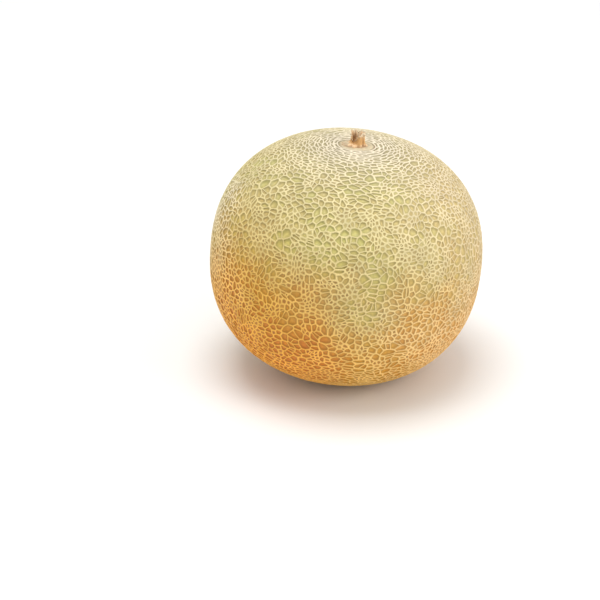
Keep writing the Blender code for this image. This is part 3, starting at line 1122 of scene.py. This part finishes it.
        return fibres.make("stem_fibres", self.place)

    def place(self, points: Array) -> Array:
        """Raises points from the stub's own base to its place on the leaning fruit."""
        base = self.form.half_height - self.form.hollow_depth + self.raised
        return self.form.stand(points + (0, 0, base))


# The studio


@dataclass(frozen=True)
class Lamp:
    """A square lamp: its name, place, side in metres and power in watts."""

    name: str
    place: tuple[float, float, float]
    size: float
    power: float


@dataclass(frozen=True)
class Studio:
    """A pale floor, soft light and the camera at the photograph's viewing angle."""

    form: FruitForm = field(default_factory=FruitForm)
    look_down: float = math.radians(25)
    distance: float = 1.04
    frame_pixels: float = 600.0
    middle_pixels: tuple[float, float] = (345.4, 255.2)
    half_width_pixels: float = 135.5
    sensor: float = 36.0
    floor_size: float = 8.0
    floor_tone: Colour = (0.88, 0.88, 0.87, 1.0)
    floor_roughness: float = 0.6
    room_tone: Colour = (1.0, 1.0, 1.0, 1.0)
    room_light: float = 0.72
    lamps: tuple[Lamp, ...] = (
        Lamp("overhead", (-0.15, 0.0, 1.3), 0.8, 10.0),
        Lamp("right", (1.2, -0.5, 0.7), 0.8, 6.5),
    )

    def place_camera(self) -> None:
        """Stands the camera off and turns it so that the fruit lies where it does in the photograph."""
        half_width = self.form.half_width
        focal = self.half_width_pixels * math.sqrt(self.distance**2 - half_width**2) / half_width
        lens = bpy.data.cameras.new("camera")
        lens.sensor_width = self.sensor
        lens.lens = focal / self.frame_pixels * self.sensor
        camera = bpy.data.objects.new("camera", lens)
        bpy.context.scene.collection.objects.link(camera)
        up = Vector((0, math.sin(self.look_down), math.cos(self.look_down)))
        back = Vector((0, -math.cos(self.look_down), math.sin(self.look_down)))
        middle = Vector((0, 0, self.form.centre_height))
        camera.location = middle + self.distance * back
        right_by = (self.middle_pixels[0] - self.frame_pixels / 2) / focal * self.distance
        up_by = (self.frame_pixels / 2 - self.middle_pixels[1]) / focal * self.distance
        aim = middle - Vector((right_by, 0, 0)) - up_by * up
        camera.rotation_euler = (aim - camera.location).to_track_quat("-Z", "Y").to_euler()
        bpy.context.scene.camera = camera

    def light(self) -> None:
        """Fills the room with white light, from a large lamp overhead and one at the right."""
        world = bpy.data.worlds.new("room")
        bpy.context.scene.world = world
        world.use_nodes = True
        background = world.node_tree.nodes["Background"]
        background.inputs["Color"].default_value = self.room_tone
        background.inputs["Strength"].default_value = self.room_light
        for lamp in self.lamps:
            self.hang(lamp)
        bpy.context.scene.view_settings.view_transform = "Standard"

    def hang(self, lamp: Lamp) -> None:
        """Hangs a lamp that faces the fruit."""
        light = bpy.data.lights.new(lamp.name, "AREA")
        light.size = lamp.size
        light.energy = lamp.power
        hung = bpy.data.objects.new(lamp.name, light)
        hung.location = lamp.place
        toward = Vector((0, 0, self.form.centre_height)) - Vector(lamp.place)
        hung.rotation_euler = toward.to_track_quat("-Z", "Y").to_euler()
        bpy.context.scene.collection.objects.link(hung)

    def lay_floor(self) -> None:
        """Lays a wide pale floor at the height that the fruit stands on."""
        half = self.floor_size / 2
        slab = Surface(())
        around = np.array([[-1, -1, 0], [1, -1, 0], [1, 1, 0], [-1, 1, 0]])
        slab.join(*slab.add(half * around))
        floor = slab.make("floor", np.asarray)
        paint = Paint("pale_floor")
        paint.shader.inputs["Base Color"].default_value = self.floor_tone
        paint.shader.inputs["Roughness"].default_value = self.floor_roughness
        floor.data.materials.append(paint.material)


def settle(piece: bpy.types.Object, node: str) -> None:
    """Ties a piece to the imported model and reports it.

    Args:
        piece: The finished piece.
        node: The CAD node that it stands for.
    """
    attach(piece, "root")
    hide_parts(node)
    piece.data.calc_loop_triangles()
    log.info("%s: %d triangles, stands for %s", piece.name, len(piece.data.loop_triangles), node)


def main() -> None:
    """Builds the studio, the fruit and its stem."""
    logging.basicConfig(level=logging.INFO, format="%(name)s: %(message)s")
    studio = Studio()
    studio.place_camera()
    studio.light()
    studio.lay_floor()
    rind = NettedRind().build()
    RindFinish().dress(rind)
    settle(rind, "fruit")
    stub = StemStub()
    finish = StemFinish(lean=-stub.form.lean)
    for piece in (stub.build(), stub.build_fibres()):
        finish.dress(piece)
        settle(piece, "stem_stub")


if __name__ == "__main__":
    main()
